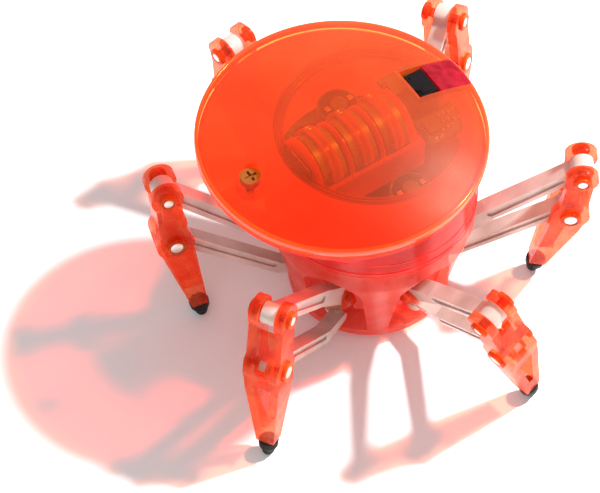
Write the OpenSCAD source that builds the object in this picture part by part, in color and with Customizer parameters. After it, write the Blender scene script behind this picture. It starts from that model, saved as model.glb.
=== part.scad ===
// Six-legged walking toy robot with a turning, domed head.
// Millimetres. Origin: centre of the belly's flat underside, on the axis
// that the head turns about. +Z is up, and the feet stand below the belly.

/* [Head] */
// Diameter of the domed cover
dome_d = 53.5; // [53:0.1:54.5]
// Rise of the cover's crown above its rim
dome_rise = 6; // [5:0.5:7]
// Thickness of the cover
dome_wall = 1.4; // [1.2:0.1:1.6]
// How far the cover's centre lies behind the turning axis
dome_offset = 6.9; // [6.5:0.1:7]
// Outer diameter of the drum below the cover
drum_d = 39.4; // [39:0.1:40]
// Direction that the eye faces, anticlockwise from +X
heading = 36; // [0:1:359]

/* [Base] */
// Diameter of the belly plate
belly_d = 30.4; // [30:0.2:31]
// Diameter of the base at its top
base_top_d = 39; // [38.6:0.1:39.4]
// Half width of the arched opening that each leg passes through
arch_r = 5.9; // [5.7:0.1:6]

/* [Legs] */
// Height of the belly above the floor
belly_gap = 2.5; // [2:0.1:3]
// Upper arm, from its hip pin to its knee pin
arm_length = 33.6; // [33:0.1:34.2]
// Lower arm, from its foot pin to its inner ball
link_length = 30.8; // [30.4:0.1:31.2]
// Foot, from the knee pin to the end of the rubber tip
foot_length = 35; // [34:0.2:36]
// Distance between the two pins in a foot
pin_gap = 11.8; // [11.4:0.1:12.2]
// Width of the arms
arm_w = 3; // [2.8:0.1:3.1]
// Diameter of the leg pins
pin_d = 1.8; // [1.6:0.1:1.9]

/* [Hidden] */

$fn = 48;
eps = 0.01;
fit = 0.05;               // radial clearance of a shaft in its bore

// Colours
clear_orange = [1, 0.35, 0.1, 0.6];
clear_red = [0.85, 0.1, 0.2, 0.6];
nylon = [0.75, 0.7, 0.66];
gear_white = [0.93, 0.91, 0.86];

// Base heights and radii
belly_t = 1.5;
shell_wall = 1.6;
shell_top_z = 23.5;
foot_ring_z = 3.6;        // top of the straight foot of the base
arch_step = 0.1;          // step in each side of an opening, below its round top
arch_z = 14.2;            // centre of the round top of an opening
hub_in_r = 9;
hub_out_r = 14.4;
hub_h = 5;
post_r = 12.2;            // circle of the hub's six posts
ring_z = 20.3;            // underside of the ring gear
column_r = 4;             // fixed column that the head turns on
column_top_z = 25.4;

// Legs: the six hips stand on a circle, 60 degrees apart
leg_count = 6;
first_leg = 8;            // direction of the first hip, from +X
first_post = first_leg + 30;
hip_circle_r = 13.5;
hip_z = 9.5;
hip_ball_r = 3.3;
link_ball_z = 4.7;
link_ball_r = 1.2;
tip_ball_r = 1.2;
tip_bend = 5;             // the foot's tip leans in from the line of its pins
fork_gap = 3.4;
foot_w = 7;
// Each leg's stance at rest: swing, sideways lean, outward tilt of its foot
stance = [[-5, 4, -8], [-1, -5, 0], [5, -5, -1], [10, 8, -5], [-3, 4, 15], [11, 18, 8]];

// Crank and star plates
crank_throw = 2;
crank_dir = 7;            // direction of the lower eccentric
eccentric_r = 4.2;
plate_t = 0.6;
plate_a_z = 1.7;
plate_b_z = 2.5;
pad_circle_r = 11.5;

// Gears, module 0.5
gear_m = 0.5;
ring_teeth = 60;
turn_teeth = 10;
drive_teeth = 33;
drive_pinion_teeth = 11;
turn_x = (ring_teeth - turn_teeth) * gear_m / 2;
drive_x = (drive_teeth + drive_pinion_teeth) * gear_m / 2;
gear_z = 26;
gear_t = 2;

// Head heights
drum_r = drum_d / 2;
drum_wall = 1.3;
drum_z = 23.9;
saucer_z = 42.9;
saucer_t = 1.2;
deck_z = 28.7;
deck_t = 1.2;
motor_r = 4;
motor_top_z = 38.3;
tray_z = 35.2;
cell_d = 11.6;
cell_t = 5.4;
cell_pitch = 6.8;
cell_x = -5;              // middle cell, along the heading
cell_z = 36.4;            // underside of the cells
board_z = 42;

dome_r = dome_d / 2;
rim_z = 46.3;
lip_h = rim_z - saucer_z - saucer_t;
dome_ball_r = (dome_r * dome_r + dome_rise * dome_rise) / (2 * dome_rise);
dome_ball_z = rim_z + dome_rise - dome_ball_r;
notch_w = 7;
notch_l = 12;
lens_l = 7.2;
screw_x = -20;            // from the centre of the dome
screw_seat_z = 47;

// ---- Leg geometry: X outward, Y sideways, Z up, from the hip ball ----

// Slope of the upper arm that puts the foot's tip on the floor
function arm_slope(i) = asin(((foot_length - tip_ball_r) * cos(stance[i][2] - tip_bend)
    - (hip_z + belly_gap - tip_ball_r) / cos(stance[i][1])) / arm_length);
function knee(i) = arm_length * [cos(arm_slope(i)), sin(arm_slope(i))];
function foot_pin(i) = knee(i) + pin_gap * [sin(stance[i][2]), -cos(stance[i][2])];
function link_h(i) = (link_ball_z - hip_z) / cos(stance[i][1]);
// Slope of the lower arm that keeps its inner ball at its own height
function link_slope(i) = asin((foot_pin(i)[1] - link_h(i)) / link_length);

module at_hip(i) {
    rotate([0, 0, first_leg + i * 360 / leg_count]) translate([hip_circle_r, 0, hip_z])
        children();
}

module at_leg(i) {
    at_hip(i) rotate([0, 0, stance[i][0]]) rotate([stance[i][1], 0, 0]) children();
}

module at_knee(i) {
    at_leg(i) translate([knee(i)[0], 0, knee(i)[1]])
        rotate([0, -stance[i][2], 0]) children();
}

// Child 2D outline in the leg's own plane, w thick
module plate(w) {
    rotate([90, 0, 0]) linear_extrude(height = w, center = true) children();
}

// Tapering bar with round ends, from p to q
module bar(p, q, wp, wq) {
    d = q - p;
    n = [-d[1], d[0]] / norm(d) / 2;
    a = n * (wp - 0.04);
    b = n * (wq - 0.04);
    polygon([p + a, q + b, q - b, p - a]);
    translate(p) circle(d = wp);
    translate(q) circle(d = wq);
}

// ---- Base ----

module belly_plate() {
    color(clear_orange) difference() {
        cylinder(d = belly_d, h = belly_t);
        translate([0, 0, 0.5]) cylinder(r = 1.5 + fit, h = belly_t);
        for (a = [first_post:120:first_post + 240]) rotate([0, 0, a]) translate([post_r, 0, -eps]) {
            cylinder(r = 1.25, h = 0.95);
            cylinder(r = 0.65, h = belly_t + 1);
        }
    }
}

module base_shell() {
    r0 = belly_d / 2;
    r1 = base_top_d / 2;
    color(clear_orange) difference() {
        rotate_extrude() polygon([[r0 - shell_wall, belly_t], [r0, belly_t], [r0 + 0.3, foot_ring_z],
            [r1 - 1.6, 14], [r1 - 0.2, 18.6], [r1, 19.6], [r1, shell_top_z],
            [r1 - shell_wall, shell_top_z], [r1 - shell_wall, ring_z],
            [r1 - shell_wall - 1.2, ring_z], [r1 - shell_wall - 1.8, 18.6],
            [r1 - shell_wall - 1.6, 14], [r0 - shell_wall, foot_ring_z]]);
        for (i = [0:leg_count - 1]) rotate([0, 0, first_leg + i * 60]) {
            translate([12, 0, arch_z]) rotate([0, 90, 0]) cylinder(r = arch_r, h = 10);
            translate([12, arch_step - arch_r, 0])
                cube([10, 2 * (arch_r - arch_step), arch_z]);
        }
    }
}

module hip_hub() {
    color(clear_orange) difference() {
        union() {
            translate([0, 0, hip_z - hub_h / 2]) difference() {
                cylinder(r = hub_out_r, h = hub_h);
                translate([0, 0, -eps]) cylinder(r = hub_in_r, h = hub_h + 1);
            }
            translate([0, 0, 8.4]) cylinder(r = hub_in_r + 1, h = 1.4);
            translate([0, 0, 8.4]) cylinder(r = column_r, h = column_top_z - 8.4);
            for (a = [first_post:60:first_post + 300]) rotate([0, 0, a]) translate([post_r, 0, belly_t])
                cylinder(r = 1.3, h = 8 - belly_t);
        }
        cylinder(r = 1.5 + fit, h = 40);
        for (a = [first_post:120:first_post + 240]) rotate([0, 0, a]) translate([post_r, 0, 0])
            cylinder(r = 0.6, h = 6);
        for (i = [0:leg_count - 1]) rotate([0, 0, first_leg + i * 60])
            translate([hip_circle_r, 0, hip_z]) {
                sphere(r = hip_ball_r + 0.1);
                translate([0, -2.9, -5]) cube([6, 5.8, 10]);
            }
    }
}

module turn_ring_gear() {
    color(gear_white) translate([0, 0, ring_z]) rotate([0, 0, heading - 90])
        linear_extrude(height = 2.6) difference() {
            circle(r = base_top_d / 2 - shell_wall - 0.05);
            gear_outline(ring_teeth, 15.55, 14.6, 0.22, 0.40, 180 / ring_teeth);
        }
}

module base_screws() {
    color("silver") for (a = [first_post:120:first_post + 240]) rotate([0, 0, a])
        translate([post_r, 0, 0.1]) {
            difference() {
                cylinder(r = 1.15, h = 0.8);
                for (b = [0, 90]) rotate([0, 0, b]) translate([-0.8, -0.15, -eps])
                    cube([1.6, 0.3, 0.4]);
            }
            cylinder(r = 0.55, h = 5);
        }
}

// ---- Leg drive ----

// Gear outline with straight-sided teeth, one tooth centred on angle a0
module gear_outline(n, tip_r, root_r, tip_half, root_half, a0 = 0) {
    pitch = 360 / n;
    polygon([for (k = [0:n - 1], s = [[root_r, -root_half], [tip_r, -tip_half],
        [tip_r, tip_half], [root_r, root_half]])
        s[0] * [cos(a0 + (k + s[1]) * pitch), sin(a0 + (k + s[1]) * pitch)]]);
}

module gear(n, h, bore, a0) {
    r = n * gear_m / 2;
    linear_extrude(height = h) difference() {
        gear_outline(n, r + 0.8 * gear_m, r - 1.1 * gear_m, 0.1, 0.3, a0);
        circle(r = bore);
    }
}

module at_throw(side) {
    rotate([0, 0, crank_dir]) translate([side * crank_throw, 0, 0]) rotate([0, 0, -crank_dir])
        children();
}

module crankshaft() {
    color("silver") {
        translate([0, 0, 0.6]) cylinder(r = 1.5, h = gear_z + gear_t + 0.4 - 0.6);
        at_throw(1) translate([0, 0, plate_a_z]) cylinder(r = eccentric_r, h = plate_t);
        at_throw(-1) translate([0, 0, plate_b_z]) cylinder(r = eccentric_r, h = plate_t);
        translate([0, 0, plate_a_z]) cylinder(r = 2.1, h = plate_b_z + plate_t - plate_a_z);
    }
}

// Three-armed plate that rides on an eccentric; pad_h is the height of its pads
module star_plate(side, z, first, pad_h) {
    color(gear_white) at_throw(side) translate([0, 0, z]) difference() {
        union() {
            cylinder(r = 5.6, h = plate_t);
            for (a = [first:120:first + 240]) rotate([0, 0, a]) {
                translate([0, -1, 0]) cube([pad_circle_r, 2, plate_t]);
                translate([pad_circle_r, 0, 0]) cylinder(r = 1.6, h = pad_h);
            }
        }
        translate([0, 0, -eps]) cylinder(r = eccentric_r + fit, h = plate_t + 1);
    }
}

module star_plate_a() {
    star_plate(1, plate_a_z, first_leg + 60, plate_b_z + plate_t - plate_a_z);
}

module star_plate_b() {
    star_plate(-1, plate_b_z, first_leg, plate_t);
}

// ---- Head: X along the heading ----

module at_head() {
    rotate([0, 0, heading]) children();
}

module at_dome() {
    at_head() translate([-dome_offset, 0, 0]) children();
}

module head_drum() {
    color(clear_red) at_head() difference() {
        union() {
            translate([0, 0, drum_z]) cylinder(r = drum_r, h = saucer_z + saucer_t - drum_z);
            translate([-dome_offset, 0, saucer_z]) cylinder(r = dome_r - 0.5, h = saucer_t);
            translate([0, 0, 23.2]) cylinder(r = 6.5, h = 1);
        }
        translate([0, 0, drum_z + drum_wall]) cylinder(r = drum_r - drum_wall, h = 40);
        cylinder(r = column_r + fit, h = 40);
        translate([0, -turn_x, 20]) cylinder(r = 1.1, h = 20);
        translate([-dome_offset + screw_x, 0, 40]) cylinder(r = 0.9, h = 20);
        translate([-drum_r - 1, -1.2, 31.8]) cube([4, 2.4, 5.4]);
    }
}

module dome_body(r, z0, side_r) {
    rotate_extrude() intersection() {
        translate([0, dome_ball_z]) circle(r = r, $fn = 200);
        translate([0, z0]) square([side_r, 60 - z0]);
    }
}

module dome_cover() {
    color(clear_orange) at_dome() difference() {
        union() {
            difference() {
                dome_body(dome_ball_r, rim_z - lip_h, dome_r);
                translate([0, 0, -1]) dome_body(dome_ball_r - dome_wall + 1, 0, dome_r - 1.3);
            }
            intersection() {
                dome_body(dome_ball_r - 0.3, rim_z - lip_h, dome_r);
                translate([screw_x, 0, rim_z - lip_h]) cylinder(r = 2.6, h = 10);
            }
        }
        translate([dome_r - notch_l, -notch_w / 2, 40]) cube([notch_l + 1, notch_w, 20]);
        translate([screw_x, 0, screw_seat_z]) cylinder(r = 2.05, h = 10);
        translate([screw_x, 0, 40]) cylinder(r = 0.9, h = 20);
    }
}

module dome_screw() {
    color("silver") at_dome() translate([screw_x, 0, 0]) {
        difference() {
            translate([0, 0, screw_seat_z]) cylinder(r = 1.95, h = 1.3);
            for (b = [0, 90]) rotate([0, 0, b]) translate([-1.2, -0.25, screw_seat_z + 0.8])
                cube([2.4, 0.5, 1]);
        }
        translate([0, 0, screw_seat_z - 4.8]) cylinder(r = 0.8, h = 5);
    }
}

module eye_lens() {
    gap = 0.1;
    color([0.85, 0, 0.4, 0.7]) at_dome() intersection() {
        dome_body(dome_ball_r, saucer_z + saucer_t, dome_r);
        translate([dome_r - lens_l, -notch_w / 2 + gap, 40])
            cube([lens_l + 1, notch_w - 2 * gap, 20]);
    }
}

module ir_receiver() {
    x0 = dome_r - notch_l + 0.3 - dome_offset;
    x1 = dome_r - lens_l - 0.3 - dome_offset;
    color([0.1, 0.1, 0.1]) at_head() translate([x0, 0, board_z + 1]) {
        translate([0.6, -2.9, 0]) cube([x1 - x0 - 0.6, 5.8, 6.1]);
        translate([1.6, 0, 0]) cylinder(r = 1.6, h = 6.4);
        translate([1.2, -2.3, 0]) cube([x1 - x0 - 2, 4.6, 6.3]);
    }
}

module circuit_board() {
    color([0.35, 0.36, 0.1]) at_head() {
        translate([7, -9, board_z]) cube([8.5, 18, 1]);
        translate([7.8, -7.5, board_z + 1]) cube([2.4, 3.2, 1.1]);
        translate([7.6, 3.6, board_z + 1]) cube([2.6, 4, 0.9]);
        translate([12, 5.2, board_z + 1]) cylinder(r = 1.3, h = 2.2);
    }
}

module battery_tray() {
    len = 3 * cell_pitch + 0.8;
    wide = cell_d + 0.6;
    mid_z = cell_z + cell_d / 2;
    color(clear_orange) at_head() translate([cell_x - len / 2, 0, 0]) difference() {
        union() {
            translate([-1.2, -wide / 2 - 0.9, tray_z]) cube([len + 2.4, wide + 1.8, 7]);
            for (k = [0:3]) translate([k * cell_pitch + 0.05, 0, mid_z]) rotate([0, 90, 0])
                cylinder(r = cell_d / 2 + 0.2, h = 0.7);
        }
        for (k = [0:2]) translate([k * cell_pitch + 0.75, 0, mid_z]) {
            rotate([0, 90, 0]) cylinder(r = wide / 2, h = cell_pitch - 0.7);
            translate([0, -wide / 2, 0]) cube([cell_pitch - 0.7, wide, 20]);
        }
        translate([-0.5, -3.1, tray_z + 1]) cube([0.45, 6.2, 20]);
        translate([len + 0.05, -3.1, tray_z + 1]) cube([0.45, 6.2, 20]);
    }
}

module battery_cells() {
    color([0.7, 0.7, 0.72]) at_head() for (k = [-1:1])
        translate([cell_x + k * cell_pitch - cell_t / 2, 0, cell_z + cell_d / 2])
            rotate([0, 90, 0]) {
                cylinder(d = cell_d, h = cell_t - 0.5);
                cylinder(d = cell_d - 2.2, h = cell_t);
            }
}

module battery_contacts() {
    len = 3 * cell_pitch + 0.8;
    color([0.8, 0.62, 0.3]) at_head() for (x = [-len / 2 - 0.45, len / 2 + 0.1])
        translate([cell_x + x, -3, tray_z + 1.1]) cube([0.35, 6, 8.4]);
}

module motor_can(x, y, shaft_z) {
    translate([x, y, deck_z + deck_t]) difference() {
        union() {
            cylinder(r = motor_r, h = motor_top_z - deck_z - deck_t);
            cylinder(r = 1.6, h = motor_top_z - deck_z - deck_t + 0.8);
        }
        translate([0, 0, -eps]) cylinder(r = 0.75 + fit, h = 3.2);
    }
}

module drive_motor() {
    color([0.62, 0.63, 0.66]) at_head() motor_can(0, drive_x);
}

module turn_motor() {
    color([0.62, 0.63, 0.66]) at_head() motor_can(0, -turn_x);
}

module motor_deck() {
    color(gear_white) at_head() difference() {
        union() {
            translate([0, 0, deck_z]) cylinder(r = drum_r - drum_wall - 0.1, h = deck_t);
            for (a = [20, 160, 215, 325]) rotate([0, 0, a])
                translate([15.6, 0, drum_z + drum_wall]) cylinder(r = 1.4, h = 4);
            for (x = [cell_x - 7, cell_x + 7]) translate([x, -5, deck_z])
                cube([2, 2, tray_z - deck_z]);
            for (x = [cell_x - 7, cell_x + 7]) translate([x, 3, deck_z])
                cube([2, 2, tray_z - deck_z]);
            translate([11, -1.5, deck_z]) cube([2.5, 3, board_z - deck_z]);
        }
        translate([0, drive_x, deck_z - 1]) cylinder(r = 1, h = 4);
        translate([0, -turn_x, deck_z - 1]) cylinder(r = 1, h = 4);
        translate([0, 0, deck_z - 1]) cylinder(r = 2, h = 4);
        translate([-20, -2.6, deck_z - 1]) cube([3.4, 5.2, 4]);
    }
}

module drive_gear() {
    color(gear_white) at_head() translate([0, 0, gear_z])
        gear(drive_teeth, gear_t, 1.5 + fit, 90);
}

module drive_pinion() {
    color(gear_white) at_head() translate([0, drive_x, gear_z]) {
        gear(drive_pinion_teeth, gear_t, 0.5, 270 + 180 / drive_pinion_teeth);
        cylinder(r = 0.75, h = deck_z + deck_t + 2.6 - gear_z);
    }
}

module turn_pinion() {
    color(gear_white) at_head() translate([0, -turn_x, ring_z + 0.2]) {
        gear(turn_teeth, 2.2, 0.5, 270 + 180 / turn_teeth);
        cylinder(r = 0.75, h = deck_z + deck_t + 2.6 - ring_z - 0.2);
    }
}

module power_switch() {
    color([0.1, 0.1, 0.1]) at_head() translate([-drum_r, 0, 32.9]) {
        translate([-0.6, -1, -1]) cube([2.2, 2, 2]);
        translate([1.5, -2, -2]) cube([0.8, 4, 4]);
    }
}

// ---- Legs ----

// Ball with a slot for the arm, and an upright belt that the hip swings on
module hip(i) {
    slot_w = arm_w + 0.3;
    color(clear_orange) {
        intersection() {
            at_leg(i) difference() {
                sphere(r = hip_ball_r);
                cube([20, slot_w, 20], center = true);
            }
            at_hip(i) cylinder(r = hip_ball_r - 0.1, h = 10, center = true);
        }
        at_leg(i) rotate([90, 0, 0]) cylinder(d = pin_d, h = slot_w + 1, center = true);
    }
}

// Round eye at the end of an arm
module eye(x) {
    translate([x, 0, 0]) rotate([90, 0, 0]) cylinder(r = 2.2, h = arm_w, center = true);
}

module eye_bore(x) {
    translate([x, 0, 0]) rotate([90, 0, 0]) cylinder(d = pin_d + 2 * fit, h = 20, center = true);
}

module upper_arm(i) {
    elbow = [12, 0.7];
    color(nylon) at_leg(i) rotate([0, -arm_slope(i), 0]) difference() {
        union() {
            plate(arm_w) {
                bar([0, 0], elbow, 3.6, 3.2);
                bar(elbow, [arm_length, 0], 3.2, 3);
            }
            eye(0);
            eye(arm_length);
        }
        eye_bore(0);
        eye_bore(arm_length);
        for (side = [-1, 1]) translate([0, side * (arm_w / 2), 0]) plate(0.8)
            bar(elbow + [0.5, 0], [arm_length - 4.5, 0.3], 1.5, 1.1);
    }
}

module lower_arm(i) {
    elbow = [-link_length + 6.3, -2];
    s = link_slope(i);
    color(nylon) at_leg(i) translate([foot_pin(i)[0], 0, foot_pin(i)[1]]) rotate([0, -s, 0]) {
        difference() {
            plate(arm_w) difference() {
                union() {
                    bar([-link_length, 0], elbow, 1.7, 2.4);
                    bar(elbow, [0, 0], 2.4, 2.8);
                    circle(r = 2.2);
                }
                circle(d = pin_d + 2 * fit);
            }
            for (side = [-1, 1]) translate([0, side * (arm_w / 2), 0]) plate(0.8)
                bar(elbow + [1.5, 0.3], [-4.2, 0], 0.9, 1);
        }
        translate([-link_length, 0, 0]) sphere(r = link_ball_r);
    }
}

// Direction of the tip, from the knee pin
function tip_at(d) = d * [-sin(tip_bend), -cos(tip_bend)];

module foot_side() {
    bar([0, 0], [0, -pin_gap], 4.8, 5.4);
    circle(r = 3.05);
    translate([0, -pin_gap]) circle(r = 3.6);
    bar([0, -pin_gap], tip_at(foot_length - 4), 6.6, 3.1);
}

// Seen from outside: parallel cheeks that close in below the lower pin
module foot_front() {
    z1 = -pin_gap - 4.5;
    z2 = -foot_length + 2;
    polygon([[-foot_w / 2, 4], [foot_w / 2, 4], [foot_w / 2, z1], [1.5, z2], [-1.5, z2],
        [-foot_w / 2, z1]]);
}

module foot_slot() {
    z1 = -pin_gap - 4.5;
    polygon([[-fork_gap / 2, 5], [fork_gap / 2, 5], [fork_gap / 2, z1], [0.5, z1 - 10.5],
        [-0.5, z1 - 10.5], [-fork_gap / 2, z1]]);
}

module foot(i) {
    web_top = -3.4;
    web_low = -pin_gap - 4.2;
    color(clear_orange) at_knee(i) difference() {
        union() {
            difference() {
                intersection() {
                    plate(foot_w) foot_side();
                    rotate([90, 0, 90]) linear_extrude(height = 20, center = true) foot_front();
                }
                rotate([90, 0, 90]) linear_extrude(height = 20, center = true) foot_slot();
            }
            plate(fork_gap + 0.2) difference() {
                intersection() {
                    foot_side();
                    translate([1, web_low]) square([5, web_top - web_low]);
                }
                circle(r = 2.5);
                translate([0, -pin_gap]) circle(r = 2.5);
            }
        }
        translate([2, 0, -pin_gap + 1.4]) cube([6, 1.7, 2.6], center = true);
        for (z = [0, -pin_gap]) translate([0, 0, z]) rotate([90, 0, 0])
            cylinder(d = pin_d, h = 20, center = true);
        at_tip() translate([0, 0, -5]) cube([12, 12, 10], center = true);
    }
}

// Frame at the joint between the foot and its rubber tip, +Z up the foot
module at_tip() {
    p = tip_at(foot_length - 4);
    translate([p[0], 0, p[1]]) rotate([0, tip_bend, 0]) children();
}

module foot_tip(i) {
    r = 1.9;
    h = 4 - tip_ball_r;
    color([0.08, 0.08, 0.08]) at_knee(i) at_tip() {
        rotate_extrude() polygon([[0, 0], [r - 0.3, 0], [r, -0.4], [r - 0.1, -1.6],
            [tip_ball_r, -h], [0, -h]]);
        translate([0, 0, -h]) sphere(r = tip_ball_r);
    }
}

module leg_pins(i) {
    head_t = 0.7;
    color(clear_orange) at_knee(i) for (z = [0, -pin_gap]) translate([0, 0, z]) rotate([90, 0, 0]) {
        cylinder(d = pin_d, h = foot_w + 2 * eps, center = true);
        for (side = [0, 1]) mirror([0, 0, side]) translate([0, 0, foot_w / 2])
            cylinder(r = z == 0 ? 1.7 : 2, h = head_t);
    }
}

belly_plate();
base_shell();
hip_hub();
turn_ring_gear();
base_screws();
crankshaft();
star_plate_a();
star_plate_b();
head_drum();
dome_cover();
dome_screw();
eye_lens();
ir_receiver();
circuit_board();
battery_tray();
battery_cells();
battery_contacts();
drive_motor();
turn_motor();
motor_deck();
drive_gear();
drive_pinion();
turn_pinion();
power_switch();
for (i = [0:leg_count - 1]) {
    hip(i);
    upper_arm(i);
    lower_arm(i);
    foot(i);
    foot_tip(i);
    leg_pins(i);
}
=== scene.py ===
"""Six-legged walking toy robot in tinted clear plastic: looks, light and camera."""

import math

import bmesh
import bpy
from mathutils import Matrix, Vector


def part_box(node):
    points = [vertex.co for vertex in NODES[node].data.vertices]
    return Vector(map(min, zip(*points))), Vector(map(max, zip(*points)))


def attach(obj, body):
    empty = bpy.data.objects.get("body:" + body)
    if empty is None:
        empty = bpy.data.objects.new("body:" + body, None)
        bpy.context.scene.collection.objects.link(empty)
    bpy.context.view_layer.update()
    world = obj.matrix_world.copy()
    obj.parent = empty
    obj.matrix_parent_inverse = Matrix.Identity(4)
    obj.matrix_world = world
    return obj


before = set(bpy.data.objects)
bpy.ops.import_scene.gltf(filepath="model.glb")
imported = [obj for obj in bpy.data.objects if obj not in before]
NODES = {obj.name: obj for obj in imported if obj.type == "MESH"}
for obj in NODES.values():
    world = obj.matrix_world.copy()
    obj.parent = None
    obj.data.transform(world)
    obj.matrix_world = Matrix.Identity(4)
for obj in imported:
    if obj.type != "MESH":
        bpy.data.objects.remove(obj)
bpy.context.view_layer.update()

MM = 0.001
LEGS = range(1, 7)

# Lowest point of the feet
FLOOR_Z = min(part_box(f"foot_tip_{i}")[0].z for i in LEGS)


# ---- Material helpers ----

def new_material(name):
    """A material with an empty node tree, and its tree and output."""
    mat = bpy.data.materials.new(name)
    mat.use_nodes = True
    tree = mat.node_tree
    tree.nodes.clear()
    return mat, tree, tree.nodes.new("ShaderNodeOutputMaterial")


def add(tree, kind, **values):
    """A node of that kind, with the given input values."""
    node = tree.nodes.new(kind)
    for key, value in values.items():
        node.inputs[key.replace("_", " ")].default_value = value
    return node


def noise(tree, scale, detail=3.0, rough=0.5):
    """Noise in the part's own frame, so that it has one size on every piece."""
    where = tree.nodes.new("ShaderNodeTexCoord")
    node = add(tree, "ShaderNodeTexNoise", Scale=scale, Detail=detail, Roughness=rough)
    tree.links.new(where.outputs["Object"], node.inputs["Vector"])
    return node.outputs["Fac"]


def ramp(tree, source, low, high, start=0.35, end=0.65):
    """Colours from low to high as source goes from start to end."""
    node = tree.nodes.new("ShaderNodeValToRGB")
    node.color_ramp.elements[0].position = start
    node.color_ramp.elements[1].position = end
    node.color_ramp.elements[0].color = (*low, 1.0)
    node.color_ramp.elements[1].color = (*high, 1.0)
    tree.links.new(source, node.inputs["Fac"])
    return node.outputs["Color"]


def span(tree, source, low, high):
    """A number from low to high as source goes over noise's usual range."""
    node = tree.nodes.new("ShaderNodeMapRange")
    node.inputs["From Min"].default_value = 0.3
    node.inputs["From Max"].default_value = 0.7
    node.inputs["To Min"].default_value = low
    node.inputs["To Max"].default_value = high
    tree.links.new(source, node.inputs["Value"])
    return node.outputs["Result"]


def bump(tree, source, distance):
    """A surface as rough as source, with that depth in metres."""
    node = add(tree, "ShaderNodeBump", Strength=1.0, Distance=distance)
    tree.links.new(source, node.inputs["Height"])
    return node.outputs["Normal"]


def surface(tree, low, high, rough, colour_scale, grain_scale, grain, **values):
    """A Principled shader with mottled colour, uneven gloss and a fine grain."""
    shader = add(tree, "ShaderNodeBsdfPrincipled", **values)
    link = tree.links.new
    link(ramp(tree, noise(tree, colour_scale), low, high), shader.inputs["Base Color"])
    link(span(tree, noise(tree, grain_scale * 0.2), *rough), shader.inputs["Roughness"])
    link(bump(tree, noise(tree, grain_scale), grain), shader.inputs["Normal"])
    return shader


def solid(name, low, high, rough=(0.3, 0.45), colour_scale=120, grain_scale=900,
          grain=0.00002, **values):
    """An opaque material."""
    mat, tree, out = new_material(name)
    shader = surface(tree, low, high, rough, colour_scale, grain_scale, grain, **values)
    tree.links.new(shader.outputs["BSDF"], out.inputs["Surface"])
    return mat


def clear(name, low, high, tint, opacity, shade, glow=0.4, rough=(0.12, 0.24), shine=0.5,
          mottle=60):
    """Tinted clear plastic. opacity is (face on, edge on), shade is how much of a lamp's light
    it stops, and glow is how much of its body lets light through and scatters it."""
    mat, tree, out = new_material(name)
    link = tree.links.new
    grain_scale, grain = 400, 0.00003
    body = surface(tree, low, high, rough, mottle, grain_scale, grain, Specular_IOR_Level=shine)
    through = tree.nodes.new("ShaderNodeBsdfTranslucent")
    link(ramp(tree, noise(tree, mottle), low, high), through.inputs["Color"])
    lit = add(tree, "ShaderNodeMixShader", Fac=glow)
    link(body.outputs["BSDF"], lit.inputs[1])
    link(through.outputs["BSDF"], lit.inputs[2])
    see = add(tree, "ShaderNodeBsdfTransparent", Color=(*tint, 1.0))
    facing = add(tree, "ShaderNodeLayerWeight", Blend=0.35)
    edge = tree.nodes.new("ShaderNodeMapRange")
    edge.inputs["To Min"].default_value = opacity[0]
    edge.inputs["To Max"].default_value = opacity[1]
    link(facing.outputs["Facing"], edge.inputs["Value"])
    path = tree.nodes.new("ShaderNodeLightPath")
    seen = tree.nodes.new("ShaderNodeMix")
    seen.data_type = "FLOAT"
    link(path.outputs["Is Shadow Ray"], seen.inputs[0])
    link(edge.outputs["Result"], seen.inputs[2])
    seen.inputs[3].default_value = shade
    mix = tree.nodes.new("ShaderNodeMixShader")
    link(seen.outputs[0], mix.inputs["Fac"])
    link(see.outputs["BSDF"], mix.inputs[1])
    link(lit.outputs["Shader"], mix.inputs[2])
    link(mix.outputs["Shader"], out.inputs["Surface"])
    return mat


# ---- Materials ----

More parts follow.
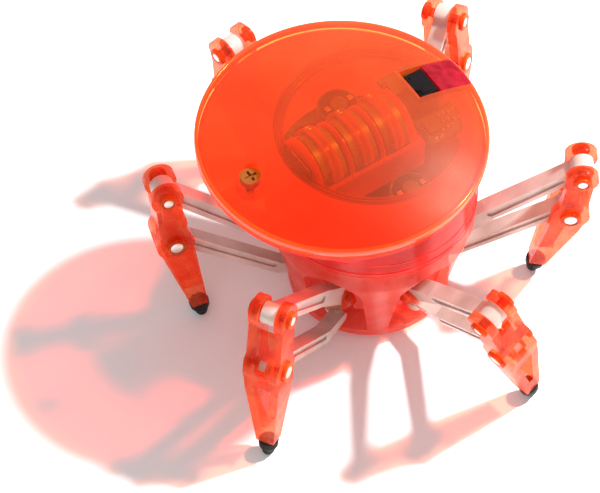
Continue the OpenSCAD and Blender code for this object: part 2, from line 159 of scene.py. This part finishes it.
MATERIALS = {
    "cover": clear("cover_plastic", (0.76, 0.12, 0.034), (0.88, 0.17, 0.056),
                   (0.96, 0.65, 0.28), (0.09, 0.85), 0.08, rough=(0.36, 0.46), shine=0.7),
    "rim": clear("rim_plastic", (0.82, 0.10, 0.022), (0.98, 0.16, 0.04), (0.95, 0.40, 0.20),
                 (0.80, 0.95), 0.15, glow=0.15, rough=(0.12, 0.2), shine=0.9),
    "strap": clear("strap_plastic", (0.62, 0.13, 0.03), (0.82, 0.22, 0.06), (1.0, 0.72, 0.42),
                   (0.22, 0.8), 0.2, shine=1.0),
    "ledge": clear("ledge_plastic", (0.42, 0.05, 0.008), (0.58, 0.08, 0.014), (0.95, 0.6, 0.3),
                   (0.38, 0.85), 0.25),
    "tray": clear("tray_plastic", (0.85, 0.10, 0.01), (1.0, 0.17, 0.02), (1.0, 0.62, 0.35),
                  (0.25, 0.85), 0.25),
    "base": clear("base_plastic", (0.96, 0.13, 0.10), (1.0, 0.27, 0.21), (1.0, 0.66, 0.58),
                  (0.30, 0.82), 0.08, glow=0.5, mottle=170),
    "drum": clear("drum_plastic", (0.84, 0.07, 0.055), (1.0, 0.13, 0.11),
                  (1.0, 0.28, 0.22), (0.42, 0.9), 0.25),
    "leg": clear("leg_plastic", (0.74, 0.05, 0.012), (1.0, 0.19, 0.065), (1.0, 0.58, 0.42),
                 (0.20, 0.84), 0.3, mottle=240),
    "pin": clear("pin_plastic", (0.52, 0.07, 0.006), (0.92, 0.22, 0.02), (1.0, 0.40, 0.15),
                 (0.45, 0.92), 0.3, mottle=400),
    "lens": clear("lens_plastic", (0.30, 0.006, 0.016), (0.52, 0.018, 0.04),
                  (0.80, 0.03, 0.06), (0.62, 0.92), 0.4, rough=(0.06, 0.12), mottle=480),
    "arm": solid("arm_nylon", (0.42, 0.31, 0.27), (0.58, 0.47, 0.42), (0.28, 0.44),
                 Subsurface_Weight=0.25, Subsurface_Scale=0.001),
    "gear": solid("gear_acetal", (0.60, 0.50, 0.36), (0.74, 0.66, 0.52), (0.3, 0.42)),
    "black": solid("black_plastic", (0.005, 0.004, 0.005), (0.012, 0.009, 0.010), (0.12, 0.3),
                   Specular_IOR_Level=0.12),
    "rubber": solid("rubber_black", (0.006, 0.005, 0.005), (0.018, 0.016, 0.015), (0.45, 0.65),
                    grain_scale=1500, grain=0.00005, Specular_IOR_Level=0.15),
    "steel": solid("steel_bright", (0.42, 0.36, 0.32), (0.60, 0.55, 0.50), (0.22, 0.38),
                   Metallic=1.0),
    "screw": solid("steel_screw", (0.20, 0.050, 0.005), (0.28, 0.072, 0.008), (0.55, 0.7),
                   Specular_IOR_Level=0.15),
    # Button cells: steel darkened to a dark olive, which paints the shade inside the cover into
    # their colour
    "cell": solid("cell_steel", (0.15, 0.13, 0.035), (0.25, 0.22, 0.07), (0.22, 0.34),
                  Metallic=0.5),
    # Bright tin: real solder on the board, and painted highlights on the strap tips and pin ends
    "solder": solid("solder_tin_and_glint", (0.50, 0.48, 0.42), (0.68, 0.66, 0.60), (0.25, 0.4),
                    Metallic=1.0),
    # Motor deck: a near-black colour that paints the shade deep inside the drum, not the deck's
    # own colour
    "deck": solid("deck_acetal_painted_shade", (0.045, 0.04, 0.018), (0.085, 0.075, 0.035), (0.35, 0.5)),
    # Motor cans and crimps: steel darkened to olive, painted shade deep inside the drum
    "motor": solid("motor_steel_painted_shade", (0.14, 0.13, 0.08), (0.24, 0.22, 0.15), (0.25, 0.4),
                   Metallic=0.8),
    "brass": solid("contact_brass", (0.60, 0.40, 0.16), (0.78, 0.56, 0.26), (0.25, 0.4),
                   Metallic=1.0),
    "board": solid("board_green", (0.03, 0.055, 0.008), (0.06, 0.085, 0.014), (0.3, 0.5)),
    "ceramic": solid("part_ceramic", (0.06, 0.045, 0.02), (0.11, 0.08, 0.04), (0.4, 0.6)),
}

# The material of each CAD node
FINISH = {
    "dome_cover": "cover", "battery_tray": "tray",
    "belly_plate": "base", "base_shell": "base", "hip_hub": "base", "head_drum": "drum",
    "eye_lens": "lens", "ir_receiver": "black", "power_switch": "black",
    "turn_ring_gear": "gear", "star_plate_a": "gear", "star_plate_b": "gear",
    "motor_deck": "deck", "drive_gear": "gear", "drive_pinion": "gear",
    "turn_pinion": "gear", "base_screws": "steel", "crankshaft": "steel",
    "dome_screw": "screw", "drive_motor": "motor", "turn_motor": "motor",
    "circuit_board": "board", "battery_cells": "cell", "battery_contacts": "brass",
}
for i in LEGS:
    FINISH.update({f"hip_{i}": "leg", f"foot_{i}": "leg", f"leg_pins_{i}": "pin",
                   f"foot_tip_{i}": "rubber", f"upper_arm_{i}": "arm",
                   f"lower_arm_{i}": "arm"})

# Edge rounding in millimetres, where it isn't the usual one
USUAL_EDGE = 0.15
EDGES = {"dome_cover": 0.6, "foot": 0.35, "upper_arm": 0.4, "lower_arm": 0.4,
         "belly_plate": 0.3, "head_drum": 0.25, "ir_receiver": 0.3}


def dress(name, node):
    """Gives a CAD node its material, and rounds its edges."""
    node.data.materials.clear()
    node.data.materials.append(MATERIALS[FINISH[name]])
    for face in node.data.polygons:
        face.use_smooth = True
    kind = name.rstrip("_123456")
    weld = node.modifiers.new("weld", "WELD")
    weld.merge_threshold = 0.00001
    edge = node.modifiers.new("edges", "BEVEL")
    edge.width = EDGES.get(kind, USUAL_EDGE) * MM
    edge.segments = 3
    edge.limit_method = "ANGLE"
    edge.angle_limit = math.radians(35)
    edge.use_clamp_overlap = True
    normals = node.modifiers.new("normals", "WEIGHTED_NORMAL")
    normals.weight = 80


for name, node in NODES.items():
    dress(name, node)


# ---- Sizes of the head, in millimetres, that the added pieces fit ----

HEADING = 36                  # degrees
CELL_PITCH = 6.8
CELL_XS = [-5 + k * CELL_PITCH for k in (-1, 0, 1)]
CELL_R, CELL_T = 5.8, 5.4
CELL_AXIS_Z = 42.2
DRUM_R = 19.7
DRUM_INNER_R = 18.4
COVER_R = 26.75
COVER_X = -6.9                # centre of the cover, along the heading
RIM_Z = 46.3                  # edge of the cover, on top
MOTOR_YS = (11, -12.5)
MOTOR_TOP_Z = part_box("drive_motor")[1].z / MM - 0.8
BOARD_TOP_Z = 43

HEAD = Matrix.Rotation(math.radians(HEADING), 4, "Z")


# ---- Mesh helpers ----

def place(*xyz):
    return Matrix.Translation(Vector(xyz) * MM)


def along(axis):
    """Turns +Z to lie along that axis."""
    return Vector(axis).to_track_quat("Z", "Y").to_matrix().to_4x4()


def lathe(bm, profile, at, steps=64):
    """Turns a closed outline of (radius, height) points, in millimetres, about at's Z axis."""
    rings = []
    for radius, height in profile:
        if radius == 0:
            rings.append([bm.verts.new(at @ Vector((0, 0, height * MM)))] * steps)
            continue
        turn = [k * math.tau / steps for k in range(steps)]
        rings.append([bm.verts.new(at @ (Vector((radius * math.cos(a), radius * math.sin(a),
                                                 height)) * MM)) for a in turn])
    for low, high in zip(rings, rings[1:] + rings[:1]):
        for k in range(steps):
            corners = [low[k], low[(k + 1) % steps], high[(k + 1) % steps], high[k]]
            corners = [c for n, c in enumerate(corners) if c not in corners[:n]]
            if len(corners) > 2:
                bm.faces.new(corners)


def block(bm, low, high, at):
    """A box between two corners, in millimetres."""
    xs, ys, zs = zip(low, high)
    v = [bm.verts.new(at @ (Vector((x, y, z)) * MM)) for x in xs for y in ys for z in zs]
    for f in ((0, 1, 3, 2), (4, 6, 7, 5), (0, 4, 5, 1), (2, 3, 7, 6), (0, 2, 6, 4), (1, 5, 7, 3)):
        bm.faces.new([v[k] for k in f])


def arch(bm, inner, outer, width, start, end, at, steps=36):
    """A band bent about at's Z axis, in millimetres, from one angle to the other."""
    rows = []
    for k in range(steps + 1):
        a = math.radians(start + (end - start) * k / steps)
        rows.append([bm.verts.new(at @ (Vector((r * math.cos(a), r * math.sin(a), z)) * MM))
                     for r, z in ((inner, -width / 2), (outer, -width / 2),
                                  (outer, width / 2), (inner, width / 2))])
    for a, b in zip(rows, rows[1:]):
        for k in range(4):
            bm.faces.new([a[k], a[(k + 1) % 4], b[(k + 1) % 4], b[k]])
    bm.faces.new(rows[0])
    bm.faces.new(rows[-1])


def make_piece(name, bm, body, finish, edge=0.0, smooth=True):
    """A piece that rides on that body. edge is its rounding, in millimetres."""
    bmesh.ops.recalc_face_normals(bm, faces=bm.faces)
    mesh = bpy.data.meshes.new(name)
    bm.to_mesh(mesh)
    bm.free()
    for face in mesh.polygons:
        face.use_smooth = smooth
    piece = bpy.data.objects.new(name, mesh)
    bpy.context.scene.collection.objects.link(piece)
    mesh.materials.append(MATERIALS[finish])
    if edge:
        bevel = piece.modifiers.new("edges", "BEVEL")
        bevel.width = edge * MM
        bevel.segments = 2
        bevel.limit_method = "ANGLE"
    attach(piece, body)


# ---- Added pieces ----

def make_cell_rims():
    """The dark seal and the rolled edge of the can, on each button cell."""
    seals, cans = bmesh.new(), bmesh.new()
    for x in CELL_XS:
        face = HEAD @ place(x + CELL_T / 2, 0, CELL_AXIS_Z) @ along((1, 0, 0))
        lathe(seals, [(4.74, -0.52), (5.2, -0.52), (5.15, -0.3), (4.74, -0.25)], face)
        lathe(cans, [(5.22, -0.52), (5.75, -0.52), (5.72, -0.36), (5.5, -0.27), (5.28, -0.34)],
              face)
    make_piece("cell_seals", seals, "head", "black")
    make_piece("cell_rims", cans, "head", "cell")


def make_cell_straps():
    """The tray's straps over the cells, with the sprung tip of each one's contact, made of bright
    solder to paint the highlights at the cells' upper ends.
    """
    strap_in, strap_out, strap_w = CELL_R + 0.15, CELL_R + 0.5, 1.7
    upright = Matrix(((0, 0, 1, 0), (0, 1, 0, 0), (1, 0, 0, 0), (0, 0, 0, 1)))
    straps, ribs, tips = bmesh.new(), bmesh.new(), bmesh.new()
    for x in CELL_XS:
        # at's X axis points up, and its Y axis across the tray
        at = HEAD @ place(x, 0, CELL_AXIS_Z) @ upright
        arch(straps, strap_in, strap_out, strap_w, -84, 84, at)
        for side in (-1, 1):
            edge = at @ place(0, 0, side * (strap_w / 2 - 0.05))
            arch(ribs, strap_out - 0.05, strap_out + 0.3, 0.35, -80, 80, edge)
        # Bright tips at the cells' upper ends: contacts whose bright solder paints the highlights
        # there
        block(tips, (4.25, 4.05, -0.6), (5.05, 4.6, 0.6), at)
        arch(tips, strap_out + 0.02, strap_out + 0.25, 1.0, 30, 50, at, 6)
    make_piece("cell_straps", straps, "head", "strap")
    make_piece("strap_ribs", ribs, "head", "strap")
    make_piece("strap_highlight_tips", tips, "head", "solder")


def make_drum_ledges():
    """Steps of the drum's top inside the cover, and the bands round the drum."""
    low, steps = 43.1, 128
    axis = Matrix.Identity(4)
    inner, bands = bmesh.new(), bmesh.new()
    for radius in (16.6, 17.4, 18.1):
        lathe(inner, [(radius - 0.2, low + 0.15), (radius + 0.2, low + 0.15),
                      (radius + 0.16, low + 0.85), (radius - 0.16, low + 0.85)], axis, steps)
    out = DRUM_INNER_R - 0.02
    lathe(inner, [(16.3, low), (out, low), (out, low + 0.2), (16.3, low + 0.2)], axis, steps)
    for z, out in ((24.6, DRUM_R + 0.14), (27.1, DRUM_R + 0.06)):
        lathe(bands, [(DRUM_R - 0.1, z), (out, z + 0.1), (out, z + 0.4), (DRUM_R - 0.1, z + 0.5)],
              axis, steps)
    make_piece("drum_ledges", inner, "head", "ledge")
    make_piece("drum_bands", bands, "head", "drum")


def make_cover_rim():
    """Rolled lip round the edge of the cover."""
    bm = bmesh.new()
    outline = [(-0.5, -1.55), (0.05, -1.48), (0.18, -1.15), (0.18, -0.55), (0.08, -0.2),
               (-0.15, 0.02), (-0.5, 0.12)]
    lathe(bm, [(COVER_R + r, RIM_Z + z) for r, z in outline], HEAD @ place(COVER_X, 0, 0), 192)
    make_piece("cover_rim", bm, "head", "rim")


def make_motor_caps():
    """End caps, terminals and crimps on top of the two motors."""
    caps, tabs, crimps = bmesh.new(), bmesh.new(), bmesh.new()
    cap_t = 0.42
    for y in MOTOR_YS:
        at = HEAD @ place(0, y, MOTOR_TOP_Z)
        lathe(caps, [(1.65, 0.02), (3.5, 0.02), (3.5, 0.3), (3.3, cap_t), (1.65, cap_t)], at)
        for x in (-2.5, 2.5):
            block(tabs, (x - 0.5, -0.5, cap_t), (x + 0.5, 0.5, 0.9), at)
        for turn in range(4):
            notch = at @ Matrix.Rotation(math.tau * (turn + 0.5) / 4, 4, "Z")
            block(crimps, (3.55, -0.6, 0.02), (3.95, 0.6, 0.16), notch)
    make_piece("motor_caps", caps, "head", "black", 0.06)
    make_piece("motor_terminals", tabs, "head", "brass", 0.05, smooth=False)
    make_piece("motor_crimps", crimps, "head", "motor", 0.04, smooth=False)


# On the circuit board: each chip's sides, its first leg and how many it has on a side
CHIPS = ((7.8, 10.2, -7.3, 4), (7.6, 10.2, 3.9, 5))
LEG_PITCH = 0.75
RESISTORS = ((12.2, -7.2), (12.2, -5.6), (12.2, -4.0), (14.2, -6.4), (14.2, -4.4), (14.3, 4.2),
             (14.3, 7.4), (11.4, 7.8))
JOINTS = ((13.9, -1.9), (13.9, -0.6), (13.9, 0.7), (13.9, 2.0), (11.0, 8.4), (8.3, -8.4),
          (9.6, -8.4))
CAPACITOR = (12, 5.2)


def make_board_parts():
    """Legs of the chips, chip resistors and solder joints on the circuit board."""
    top = BOARD_TOP_Z
    pads, chips, foot = bmesh.new(), bmesh.new(), bmesh.new()
    for x0, x1, y0, count in CHIPS:
        for k in range(count):
            y = y0 + LEG_PITCH * k
            block(pads, (x0 - 0.45, y - 0.14, top), (x0, y + 0.14, top + 0.35), HEAD)
            block(pads, (x1, y - 0.14, top), (x1 + 0.45, y + 0.14, top + 0.35), HEAD)
    for x, y in RESISTORS:
        block(chips, (x - 0.5, y - 0.3, top), (x + 0.5, y + 0.3, top + 0.38), HEAD)
        for side in (-0.68, 0.5):
            block(pads, (x + side, y - 0.32, top), (x + side + 0.18, y + 0.32, top + 0.4), HEAD)
    for x, y in JOINTS:
        lathe(pads, [(0, top), (0.42, top), (0.3, top + 0.25), (0.12, top + 0.5), (0, top + 0.55)],
              HEAD @ place(x, y, 0), 20)
    lathe(foot, [(1.35, top), (1.5, top), (1.5, top + 0.3), (1.35, top + 0.3)],
          HEAD @ place(*CAPACITOR, 0), 40)
    make_piece("board_solder", pads, "head", "solder", 0.03, smooth=False)
    make_piece("board_resistors", chips, "head", "ceramic", 0.05, smooth=False)
    make_piece("capacitor_foot", foot, "head", "black")


def pin_heads(mesh):
    """The centre of each pin head's outer face, the way that it faces, and its radius."""
    smallest = 8 * MM * MM
    apart = 5 * MM                # more than a head's width, and less than the pins' gap
    planes = {}
    for face in mesh.polygons:
        n = face.normal
        key = (round(n.x, 2), round(n.y, 2), round(n.z, 2), round(face.center.dot(n) * 5000))
        parts = planes.setdefault(key, [])
        for part in parts:
            if (face.center - part[0].center).length < apart:
                part.append(face)
                break
        else:
            parts.append([face])
    heads = []
    for key, parts in planes.items():
        for part in parts:
            area = sum(face.area for face in part)
            if area > smallest:
                centre = sum((face.area * face.center for face in part), Vector()) / area
                heads.append((centre, Vector(key[:3]).normalized(), math.sqrt(area / math.pi)))
    for centre, axis, radius in heads:
        reach = centre.dot(axis) + 0.1 * MM
        if all(other.dot(axis) <= reach for other, facing, _ in heads if facing.dot(axis) > 0.99):
            yield centre, axis, radius / MM


def make_pin_rims():
    """Raised rims on the heads of each foot's pins, and a bright steel end inside each rim, which
    also paints the pale highlight on the pin heads.
    """
    for i in LEGS:
        rims, ends = bmesh.new(), bmesh.new()
        for centre, axis, r in pin_heads(NODES[f"leg_pins_{i}"].data):
            at = Matrix.Translation(centre) @ along(axis)
            lathe(rims, [(r - 0.75, -0.02), (r - 0.15, -0.02), (r - 0.2, 0.06), (r - 0.4, 0.1),
                         (r - 0.65, 0.06)], at, 28)
            # Bright steel end: partly the pin's end, partly a painted highlight on the pin head
            lathe(ends, [(0, -0.02), (r - 0.8, -0.02), (r - 0.8, 0.02), (r - 0.9, 0.05),
                         (0, 0.06)], at, 28)
        make_piece(f"pin_rims_{i}", rims, f"foot_{i}", "pin")
        make_piece(f"pin_glint_ends_{i}", ends, f"foot_{i}", "solder")


make_cell_rims()
make_cell_straps()
make_drum_ledges()
make_cover_rim()
make_motor_caps()
make_board_parts()
make_pin_rims()


# ---- Stage, light and camera ----

def make_floor():
    mesh = bpy.data.meshes.new("floor")
    reach = 6.0
    corners = [(x * reach, y * reach, FLOOR_Z) for x, y in ((-1, -1), (1, -1), (1, 1), (-1, 1))]
    mesh.from_pydata(corners, [], [(0, 1, 2, 3)])
    floor = bpy.data.objects.new("floor", mesh)
    bpy.context.scene.collection.objects.link(floor)
    mesh.materials.append(solid("floor_paper", (0.88, 0.88, 0.88), (0.9, 0.9, 0.9), (0.9, 0.95),
                                colour_scale=3))


def make_light(name, azimuth, elevation, distance, size, power):
    """A white disc lamp that faces the robot. Azimuth is from +X."""
    data = bpy.data.lights.new(name, "AREA")
    data.shape = "DISK"
    data.size = size
    data.energy = power
    light = bpy.data.objects.new(name, data)
    bpy.context.scene.collection.objects.link(light)
    a, e = math.radians(azimuth), math.radians(elevation)
    middle = Vector((0, 0, 0.02))
    light.location = middle + distance * Vector(
        (math.cos(e) * math.cos(a), math.cos(e) * math.sin(a), math.sin(e)))
    light.rotation_euler = (middle - light.location).to_track_quat("-Z", "Y").to_euler()


def make_camera():
    """Looks along +Y, down on the robot, with a long lens and a slight roll."""
    elevation, roll = math.radians(52.6), math.radians(-1.81)
    distance, focal = 1.0558, 340.2
    aim_height = 0.020                   # above the floor
    aside, above = 0.01307, 0.00611      # where that point stands in the view
    back = Vector((0, -math.cos(elevation), math.sin(elevation)))
    right = Vector((1, 0, 0))
    up = back.cross(right)
    across = math.cos(roll) * right - math.sin(roll) * up
    upward = math.sin(roll) * right + math.cos(roll) * up
    target = Vector((0, 0, FLOOR_Z + aim_height))
    spot = target + distance * back
    back = (spot - target + aside * across + above * upward).normalized()
    upward = (upward - upward.dot(back) * back).normalized()
    across = upward.cross(back)
    data = bpy.data.cameras.new("camera")
    data.sensor_width = 36
    data.lens = focal
    data.clip_end = 20
    camera = bpy.data.objects.new("camera", data)
    bpy.context.scene.collection.objects.link(camera)
    turned = Matrix((across, upward, back)).transposed().to_4x4()
    camera.matrix_world = Matrix.Translation(spot) @ turned
    bpy.context.scene.camera = camera


def make_world(strength):
    world = bpy.data.worlds.new("studio")
    world.use_nodes = True
    background = world.node_tree.nodes["Background"]
    background.inputs["Color"].default_value = (1, 1, 1, 1)
    background.inputs["Strength"].default_value = strength
    bpy.context.scene.world = world


make_floor()
make_light("key", azimuth=23, elevation=52.2, distance=1.2, size=0.11, power=36)
make_light("fill", azimuth=255, elevation=50, distance=1.4, size=1.0, power=3.5)
make_world(strength=0.5)
make_camera()
bpy.context.scene.view_settings.view_transform = "Standard"
